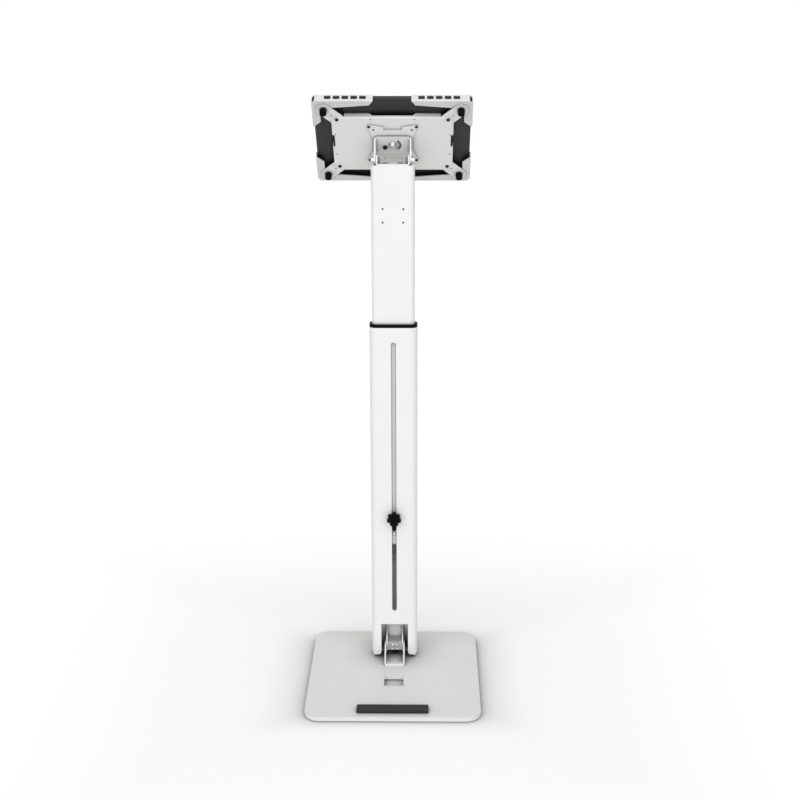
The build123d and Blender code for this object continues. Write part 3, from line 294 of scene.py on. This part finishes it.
# What all bare and plated metals share: turning or rolling marks or blasting, drawn coarser than the real
# ones so that a close view shows them, and a cloudy tint
metalSurface = {
    "markDetail": 4.0,
    "markBend": 0.6,
    "markHigh": 0.0001,  # metres
    "cloudMm": 9,
    "cloudDetail": 2.0,
    "smoother": 0.06,
    "rougher": 0.1,
}
metals = {
    # Zinc-plated steel: rolled or cut threads under bright plating, with sharp grey-white glints
    "zincPlatedSteel": {"hex": "#DADCDD", "darkHex": "#BFC2C4", "rough": 0.24, "markMm": 0.4, "bump": 0.12,
                        "metal": 1.0},
    # Zinc-plated steel for pieces deep in the foot: a darker, flat grey with soft marks, coloured as painted
    # shade
    "zincSteelShaded": {"hex": "#B7B7B6", "darkHex": "#A3A3A2", "rough": 0.6, "markMm": 0.6, "bump": 0.15,
                      "metal": 0.3},
    # Steel for the screws and nuts inside the neck: a mid grey with no glint, coloured as painted shade to
    # match the shade round them
    "greySteelShaded": {"hex": "#8F8F8F", "darkHex": "#7B7B7B", "rough": 0.6, "markMm": 0.4, "bump": 0.15,
                        "metal": 0.5},
    # Black-oxide steel: a thin dark oil finish that still glints at its edges
    "blackOxideSteel": {"hex": "#1C1C1D", "darkHex": "#121213", "rough": 0.38, "markMm": 0.5, "bump": 0.15,
                        "metal": 0.7},
    # Bead-blasted, anodised aluminium: dark grey with a fine even sparkle, and painted shade near other
    # surfaces
    "anodisedAluminiumDark": {"hex": "#343538", "darkHex": "#2D2E30", "rough": 0.46, "markMm": 0.2,
                              "bump": 0.1, "metal": 0.4, "paintedShade": [(0.03, 1.2), (0.008, 2.2)]},
}


def metalMaterial(name, spec):
    material, tree = newMaterial(name)
    millimetres = objectMillimetres(tree)
    marks = addNode(tree, "ShaderNodeTexNoise", inputs={
        "Vector": millimetres, "Scale": 1 / spec["markMm"],
        "Detail": metalSurface["markDetail"], "Distortion": metalSurface["markBend"]})
    cloud = addNode(tree, "ShaderNodeTexNoise", inputs={
        "Vector": millimetres, "Scale": 1 / metalSurface["cloudMm"], "Detail": metalSurface["cloudDetail"]})
    tint = addNode(tree, "ShaderNodeMix", {"data_type": "RGBA"}, {
        "Factor": cloud.outputs["Fac"], "A": toLinear(spec["darkHex"]), "B": toLinear(spec["hex"])})
    colourOut = paintShadeInCrevices(tree, spec, tint.outputs["Result"])
    roughness = addNode(tree, "ShaderNodeMapRange", inputs={
        "Value": marks.outputs["Fac"],
        "To Min": spec["rough"] - metalSurface["smoother"],
        "To Max": spec["rough"] + metalSurface["rougher"]})
    bump = addNode(tree, "ShaderNodeBump", inputs={
        "Height": marks.outputs["Fac"], "Strength": spec["bump"], "Distance": metalSurface["markHigh"]})
    shader = addNode(tree, "ShaderNodeBsdfPrincipled", inputs={
        "Base Color": colourOut, "Metallic": spec["metal"], "Roughness": roughness.outputs[0],
        "Normal": bump.outputs[0]})
    addNode(tree, "ShaderNodeOutputMaterial", inputs={"Surface": shader.outputs[0]})
    return material


# Polished cover glass over a screen that is off: black at the border, a shade lighter over the panel
glass = {
    "hex": "#15161A",
    "borderHex": "#08080A",
    "panelHalfMm": 141.0,  # from the middle to the border, sideways
    "smearMm": 35,
    "smearDetail": 3.0,
    "smearBend": 1.2,
    "roughness": (0.05, 0.12),  # wiped clean, and smeared
    "ior": 1.5,
}


def glassMaterial(name, spec):
    material, tree = newMaterial(name)
    millimetres = objectMillimetres(tree)
    smear = addNode(tree, "ShaderNodeTexNoise", inputs={
        "Vector": millimetres, "Scale": 1 / spec["smearMm"],
        "Detail": spec["smearDetail"], "Distortion": spec["smearBend"]})
    across = addNode(tree, "ShaderNodeSeparateXYZ", inputs={"Vector": millimetres})
    side = addNode(tree, "ShaderNodeMath", {"operation": "ABSOLUTE"}, {0: across.outputs["X"]})
    border = addNode(tree, "ShaderNodeMath", {"operation": "GREATER_THAN"}, {
        0: side.outputs[0], 1: spec["panelHalfMm"]})
    tint = addNode(tree, "ShaderNodeMix", {"data_type": "RGBA"}, {
        "Factor": border.outputs[0], "A": toLinear(spec["hex"]), "B": toLinear(spec["borderHex"])})
    wiped, smeared = spec["roughness"]
    roughness = addNode(tree, "ShaderNodeMapRange", inputs={
        "Value": smear.outputs["Fac"], "To Min": wiped, "To Max": smeared})
    shader = addNode(tree, "ShaderNodeBsdfPrincipled", inputs={
        "Base Color": tint.outputs["Result"], "Roughness": roughness.outputs[0], "IOR": spec["ior"]})
    addNode(tree, "ShaderNodeOutputMaterial", inputs={"Surface": shader.outputs[0]})
    return material


materials = {name: coatedMaterial(name, spec) for name, spec in finishes.items()}
materials.update({name: metalMaterial(name, spec) for name, spec in metals.items()})
materials["coverGlassDark"] = glassMaterial("coverGlassDark", glass)
print("materials made:", len(materials))

# Which material each of the record's slots gets, and which pieces of a slot get one of their own
slotFinish = {
    "powder_white": "powderCoatedSteel",
    "plastic_white": "mouldedNylonWhite",
    "plastic_black": "mouldedAbsBlack",
    "steel_zinc": "zincPlatedSteel",
    "steel_black": "blackOxideSteel",
    "rubber_black": "solidRubberBlack",
    "slate_shell": "anodisedAluminiumDark",
    "slate_glass": "coverGlassDark",
}
pieceFinish = {
    "lower_glide": "mouldedNylonGraphite",
    "base_plate": "powderCoatedPlate",
    "base_bracket": "powderCoatedBracket",
    "hinge_block": "zincSteelShaded",
    "bracket_screws": "zincSteelShaded",
    "tilt_nuts": "greySteelShaded",
    "neck_screws": "greySteelShaded",
}
# The four corners of the head, seen from its back: which way each lies sideways and up
corners = {"tl": (-1, 1), "tr": (1, 1), "bl": (-1, -1), "br": (1, -1)}
for corner in corners:
    pieceFinish["clamp_" + corner] = "powderCoatedSteelShaded"
    pieceFinish["clamp_pad_" + corner] = "solidRubberDeep"
slotOf = {part["node"]: part["material_slot"] for part in frame["record"]["subparts"]}
bodyOf = {node: body for body, members in frame["record"]["behaviour"]["bodies"].items() for node in members}


def materialOf(node):
    return materials[pieceFinish.get(node, slotFinish[slotOf[node]])]


# Sheet edges are broken by the tumbling before the paint: a small round along every sharp edge
edges = {
    "radiusMm": {"powder_white": 0.3, "plastic_white": 0.25, "plastic_black": 0.3, "rubber_black": 0.35,
                 "slate_shell": 0.2, "steel_zinc": 0.15, "steel_black": 0.15},
    "segments": 2,
    "sharpFrom": 32.0,  # degrees between two faces from which their edge is rounded
    "flatWithin": 0.5,  # degrees within which faces are joined into one first
    "shadeSharpFrom": 28.0,  # degrees between two faces from which their edge is shaded sharp
}
for node, slotName in slotOf.items():
    cadObject = nodes[node]
    cadObject.data.materials.clear()
    cadObject.data.materials.append(materialOf(node))
    cadObject.data.shade_smooth()
    cadObject.data.set_sharp_from_angle(angle=math.radians(edges["shadeSharpFrom"]))
    if slotName in edges["radiusMm"]:
        merge = cadObject.modifiers.new("joinFlats", "DECIMATE")
        merge.decimate_type = "DISSOLVE"
        merge.angle_limit = math.radians(edges["flatWithin"])
        bevel = cadObject.modifiers.new("brokenEdges", "BEVEL")
        bevel.width = edges["radiusMm"][slotName] / 1000
        bevel.segments = edges["segments"]
        bevel.limit_method = "ANGLE"
        bevel.angle_limit = math.radians(edges["sharpFrom"])
        bevel.use_clamp_overlap = True
        bevel.harden_normals = True
print("finishes and broken edges set on", len(slotOf), "nodes")


# Places in the head are given as on the drawing: across, up along the turning plate, and out of its back
mastMiddle = 78.5  # millimetres from the base's middle to the middle of both tubes
tiltHeight = 1096.0  # millimetres from the floor to the tilt bolts
# How far the head leans back, and how far its middle lies forward of the tilt bolts and up from them
headFrame = {"tilt": 39.0, "forward": 33.0, "up": 11.0}
tiltCos = math.cos(math.radians(headFrame["tilt"]))
tiltSin = math.sin(math.radians(headFrame["tilt"]))
headNormal = Vector((0, -tiltCos, -tiltSin))
headUp = Vector((0, -tiltSin, tiltCos))
tiltPoint = Vector((0, mastMiddle, tiltHeight))
headOrigin = tiltPoint - headNormal * headFrame["forward"] + headUp * headFrame["up"]


def headPoint(across, up, out):
    return headOrigin + Vector((across, 0, 0)) + headUp * up + headNormal * out


def hexagon(corner):
    # Distance from the middle to a hexagon's outline at an angle
    def reach(angle):
        return corner * math.cos(math.pi / 6) / math.cos((angle % (math.pi / 3)) - math.pi / 6)
    return reach


def slotShape(halfLong, halfWide):
    # The same for a narrow rectangle
    def reach(angle):
        return min(halfLong / max(abs(math.cos(angle)), 1e-6), halfWide / max(abs(math.sin(angle)), 1e-6))
    return reach


aroundRing = 48  # points in each ring of a turned piece


def ringMesh(bm, rings, place, normal, closed):
    # Rings of (radius or outline, height) in millimetres joined into one skin; closed rings form a tube
    turn = Vector((0, 0, 1)).rotation_difference(normal).to_matrix()
    loops = []
    for radius, height in rings:
        loop = []
        for i in range(aroundRing):
            angle = 2 * math.pi * i / aroundRing
            reach = radius(angle) if callable(radius) else radius
            point = turn @ Vector((reach * math.cos(angle), reach * math.sin(angle), height)) + place
            loop.append(bm.verts.new(point / 1000))
        loops.append(loop)
    pairs = list(zip(loops, loops[1:])) + ([(loops[-1], loops[0])] if closed else [])
    for low, high in pairs:
        for i in range(aroundRing):
            j = (i + 1) % aroundRing
            bm.faces.new((low[i], low[j], high[j], high[i]))
    if not closed:
        bm.faces.new(list(reversed(loops[0])))
        bm.faces.new(loops[-1])


# Shares of the pitch: where the crests start and how wide they are, how far on and how deep the roots lie,
# and how the end is eased
thread = {"firstCrest": 0.5, "crest": 0.12, "rootAt": 0.5, "rootDeep": 0.42,
          "endDeep": 0.35, "easeDeep": 0.3, "easeLong": 0.3}
endEase = 0.25  # millimetres more off the radius at a screw's end
# Shares of a head's height or radius: its upright side, the slot or socket in it, and the socket's cone
headShape = {"side": 0.25, "slotLong": 0.86, "slotWide": 0.17, "driveTo": 0.45, "coneWide": 0.5,
             "coneTo": 0.36, "tipTo": 0.3, "steps": 7}
tipRadius = 0.05  # millimetres, where a cone's end closes
headEdge = {"under": 0.12, "side": 0.15}  # millimetres that the lower edge of a head is eased
flangeEdge = {"under": 0.15, "top": 0.2}  # millimetres that a flange's two edges are eased


def screwRings(spec):
    # From the threaded end up the shank, round the flange and the domed head, and down into the drive
    shank, head, high, pitch, plain = (spec[name] for name in ("shank", "head", "high", "pitch", "plain"))
    low = -spec["long"]
    rings = [(shank - thread["endDeep"] * pitch - endEase, low),
             (shank - thread["easeDeep"] * pitch, low + thread["easeLong"] * pitch)]
    z = low + thread["firstCrest"] * pitch
    while z < -plain - pitch:
        rings += [(shank, z), (shank, z + thread["crest"] * pitch)]
        rings.append((shank - thread["rootDeep"] * pitch, z + thread["rootAt"] * pitch))
        z += pitch
    rings += [(shank, -plain), (shank, -spec.get("flangeThick", 0))]
    if "flange" in spec:
        flange, thick = spec["flange"], spec["flangeThick"]
        under, over = flangeEdge["under"], flangeEdge["top"]
        rings += [(flange - under, -thick), (flange, -thick + under)]
        rings += [(flange, -over), (flange - over, 0), (head, 0)]
    else:
        rings += [(head - headEdge["under"], 0), (head, headEdge["side"])]
    top = spec["crown"] * head
    side = headShape["side"]
    for i in range(1, headShape["steps"] + 1):
        turned = math.pi / 2 * i / headShape["steps"]
        rings.append((top + (head - top) * math.cos(turned), high * (side + (1 - side) * math.sin(turned))))
    if spec["kind"] == "slot":
        slot = slotShape(head * headShape["slotLong"], head * headShape["slotWide"])
        return rings + [(slot, high), (slot, high * headShape["driveTo"])]
    socket = hexagon(spec["drive"])
    cone = hexagon(spec["drive"] * headShape["coneWide"])
    return rings + [(socket, high), (socket, high * headShape["driveTo"]),
                    (cone, high * headShape["coneTo"]), (tipRadius, high * headShape["tipTo"])]


# The bore's eased ends in millimetres, the thread as shares of the pitch, the chamfer as one of the corner
nutShape = {"boreEase": 0.3, "threadDeep": 0.4, "threadLong": 0.5, "chamferTo": 0.9}


def nutRings(spec):
    # Down the threaded bore, then up the hexagon with its two chamfered ends
    bore, corner, thick, pitch = spec["bore"], spec["corner"], spec["thick"], spec["pitch"]
    flats = hexagon(corner)
    ease = 0.5 * (corner - corner * math.cos(math.pi / 6))
    boreEase, threadLong = nutShape["boreEase"], nutShape["threadLong"] * pitch

    def chamfered(angle):
        return min(flats(angle), corner * nutShape["chamferTo"])
    rings = [(bore + boreEase, 0), (bore, -boreEase)]
    for i in range(int((thick - 2 * boreEase) / pitch)):
        z = -boreEase - i * pitch - threadLong
        rings += [(bore + nutShape["threadDeep"] * pitch, z), (bore, z - threadLong)]
    rings += [(bore, -thick + boreEase), (bore + boreEase, -thick)]
    return rings + [(chamfered, -thick), (flats, -thick + ease), (flats, -ease), (chamfered, 0)]


# The four screws that hold the foot bracket: countersunk, and sunk into the plate's underside; all in
# millimetres, heights up from the underside
floorScrews = {
    "at": [((x, y, 0), (0, 0, -1)) for x in (-11, 11) for y in (41.3, 80.0)],
    "sink": 1.5, "head": 5.6, "shank": 3.0, "end": 13.1, "drive": 2.3, "socketDeep": 2.0, "pitch": 1.0,
    "coneDeep": 0.4, "firstTurn": 1.0, "lastTurn": 1.2, "rootDeep": 0.4, "rootAt": 0.5, "endEase": 0.6,
}


def floorScrewRings(spec):
    # From the socket's bottom out over the flat head, and in along the cone and the threaded shank
    head, shank, sink, end = (spec[name] for name in ("head", "shank", "sink", "end"))
    drive = hexagon(spec["drive"])
    socketEnd = sink + spec["socketDeep"]
    coneEnd = sink + head - shank
    rings = [(tipRadius, -socketEnd - spec["coneDeep"]), (drive, -socketEnd), (drive, -sink),
             (head, -sink), (shank, -coneEnd)]
    z = -coneEnd - spec["firstTurn"]
    while z > -end + spec["lastTurn"]:
        rings += [(shank, z), (shank - spec["rootDeep"], z - spec["rootAt"])]
        z -= spec["pitch"]
    return rings + [(shank, -end + spec["endEase"]), (shank - spec["endEase"], -end)]


# Screws, bolts and nuts of the stand: sizes in millimetres, each head seated where its CAD solid sits.
# "at" gives the place under each head and the way that the head points; head, shank, flange, drive, corner
# and bore are radii, crown is the flat share of a head's top, and plain is the shank's length with no thread
trayDrop = 1.5  # the tray and its clamps sit this much below the turning plate's middle
armScrewSpots = [(sx * 108.093, sy * 65.093 - trayDrop) for sx, sy in corners.values()]
clampNutSpots = {corner: (sx * 132.7, sy * 89.7 - trayDrop) for corner, (sx, sy) in corners.items()}
screws = {
    "block_screws": {
        "at": [((x, 66.5, 38.4), (0, -1, 0)) for x in (-4.2, 4.2)],
        "head": 3.2, "high": 2.2, "crown": 0.5, "drive": 1.3, "shank": 1.8, "long": 6.5, "pitch": 0.7,
        "small": {"head": 2.4, "drive": 1.1},
        "smallAt": [((x, 66.5, 29.0), (0, -1, 0)) for x in (-5.2, 5.2)]},
    "mast_screws": {
        "at": [((x, 96.5, z), (0, 1, 0)) for x in (-13, 13) for z in (70, 83)],
        "head": 4.7, "high": 2.7, "crown": 0.5, "drive": 2.0, "shank": 2.5, "long": 6.0, "pitch": 0.8},
    "guide_screw": {
        "at": [((0, 65.5, 303), (0, -1, 0))],
        "head": 3.4, "high": 2.4, "crown": 0.5, "drive": 1.5, "shank": 1.8, "long": 7.0, "pitch": 0.7},
    "neck_screws": {
        "at": [((x, mastMiddle, 1089), (0, 0, 1)) for x in (-15, 15)],
        "head": 4.7, "high": 2.7, "crown": 0.5, "drive": 2.0, "shank": 2.5, "long": 18.0, "pitch": 0.8},
    "tilt_bolts": {
        "at": [((x, mastMiddle, tiltHeight), (x, 0, 0)) for x in (-38.0, 38.0)],
        "head": 5.6, "high": 5.5, "crown": 0.72, "drive": 2.9, "shank": 3.0, "long": 13.6, "pitch": 1.0,
        "plain": 8.0, "flange": 7.2, "flangeThick": 1.2},
    "turn_bolt": {
        "at": [(headPoint(0, 0, 5.2), headNormal)],
        "head": 6.6, "high": 5.0, "crown": 0.7, "drive": 3.4, "shank": 4.0, "long": 13.2, "pitch": 1.25,
        "plain": 7.5, "flange": 9.5, "flangeThick": 1.2},
    "turn_lock_screw": {
        "at": [(headPoint(-15.4, -5.4, 4.0), headNormal)], "kind": "slot",
        "head": 4.4, "high": 3.5, "crown": 0.9, "shank": 3.0, "long": 3.7, "pitch": 0.8},
    "plate_screws": {
        "at": [(headPoint(x, s, 0), headNormal) for x in (-46.3, 46.3) for s in (-46.3, 46.3)],
        "head": 2.8, "high": 1.8, "crown": 0.5, "drive": 1.2, "shank": 1.8, "long": 4.5, "pitch": 0.7},
    "tray_screws": {
        "at": [(headPoint(x, s, -2.0), headNormal) for x, s in armScrewSpots],
        "head": 3.4, "high": 2.2, "crown": 0.5, "drive": 1.4, "shank": 2.0, "long": 8.2, "pitch": 0.7},
}
for spec in screws.values():
    spec.setdefault("kind", "socket")
    spec.setdefault("plain", 0.6)
nuts = {
    "hinge_nut": {
        "at": [((26.75, mastMiddle, 35), (1, 0, 0))],
        "corner": 7.0, "bore": 4.05, "thick": 5.0, "pitch": 1.25},
    "tilt_nuts": {
        "at": [((x, mastMiddle, tiltHeight), (x, 0, 0)) for x in (-30.2, 30.2)],
        "corner": 5.6, "bore": 3.05, "thick": 4.8, "pitch": 1.0},
    "turn_nut": {
        "at": [(headPoint(0, 0, -2.1), headNormal)],
        "corner": 7.2, "bore": 4.05, "thick": 5.0, "pitch": 1.25},
    "tray_nuts": {
        "at": [(headPoint(x, s, -5.2), headNormal) for x, s in armScrewSpots],
        "corner": 3.8, "bore": 2.05, "thick": 3.2, "pitch": 0.7},
}
for corner, (x, s) in clampNutSpots.items():
    nuts["clamp_nut_" + corner] = {
        "at": [(headPoint(x, s, -7.1), headNormal)],
        "corner": 4.8, "bore": 2.55, "thick": 4.0, "pitch": 0.8}
turnedSharpFrom = 34.0  # degrees between faces from which a turned piece's edge is shaded sharp


def addFastener(node, spec, rings, closed):
    # One piece with all the screws or nuts of a node, which it stands for
    bm = bmesh.new()
    for place, normal in spec["at"]:
        ringMesh(bm, rings, Vector(place), Vector(normal).normalized(), closed)
    for place, normal in spec.get("smallAt", []):
        smallRings = screwRings({**spec, **spec["small"]})
        ringMesh(bm, smallRings, Vector(place), Vector(normal).normalized(), closed)
    bmesh.ops.recalc_face_normals(bm, faces=bm.faces)
    mesh = bpy.data.meshes.new(node + "_turned")
    bm.to_mesh(mesh)
    bm.free()
    piece = bpy.data.objects.new(node + "_turned", mesh)
    bpy.context.scene.collection.objects.link(piece)
    mesh.materials.append(materialOf(node))
    mesh.shade_smooth()
    mesh.set_sharp_from_angle(angle=math.radians(turnedSharpFrom))
    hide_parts(node)
    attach(piece, bodyOf[node])
    return len(spec["at"]) + len(spec.get("smallAt", []))


made = 0
for node, spec in screws.items():
    made += addFastener(node, spec, screwRings(spec), False)
for node, spec in nuts.items():
    made += addFastener(node, spec, nutRings(spec), True)
made += addFastener("bracket_screws", floorScrews, floorScrewRings(floorScrews), False)
print("screws, bolts and nuts turned:", made)
